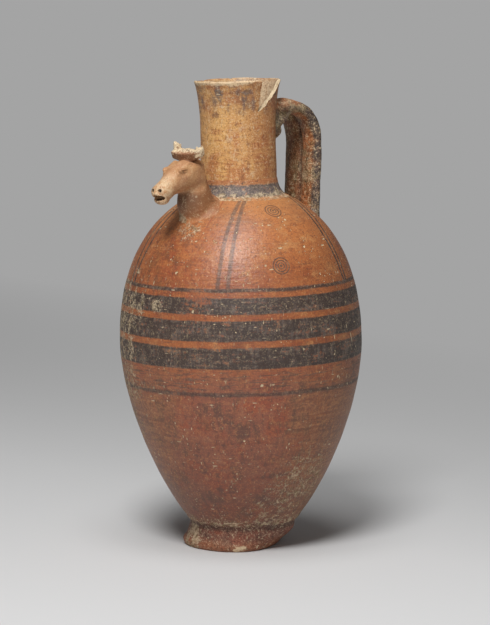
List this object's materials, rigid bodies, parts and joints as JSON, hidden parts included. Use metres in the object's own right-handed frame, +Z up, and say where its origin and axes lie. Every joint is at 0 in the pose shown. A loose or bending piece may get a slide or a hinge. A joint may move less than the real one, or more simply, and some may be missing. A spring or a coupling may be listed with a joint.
{
  "type": "terracotta jug with an animal-head spout",
  "caption": "Egg-shaped painted terracotta jug on a ring foot, with a tall neck, a double-roll handle and a pouring spout shaped as an animal's head.",
  "frame": {"origin": "on the ground under the middle of the belly, at the centre of the bottom of the whole object's box", "axes": "+Z up from the foot to the lip, +X towards the handle, -X about towards the animal-head spout, which stands 10 degrees off that line"},
  "size_m": [0.153, 0.153, 0.2964],
  "materials": {
    "slip_red": "burnished red slip, worn, with dark painted bands",
    "slip_ochre": "thin ochre slip, mottled and worn",
    "slip_brown": "brown-red slip, rubbed and encrusted",
    "paint_dark": "matt dark grey paint, worn to the clay",
    "clay_tan": "fine tan clay, matt",
    "clay_pale": "pale broken clay"
  },
  "bodies": {
    "root": {"foot": "slip_brown", "body": "slip_red", "neck": "slip_ochre", "neck_collar": "paint_dark", "spout_throat": "slip_ochre", "spout_collar": "slip_ochre", "animal_head": "clay_tan", "ear_roll": "clay_tan", "horn_left": "clay_pale", "horn_right": "clay_pale", "eye_left": "clay_tan", "eye_right": "clay_tan", "handle_roll_left": "slip_brown", "handle_roll_right": "slip_brown", "handle_wad": "slip_brown"}
  },
  "joints": []
}
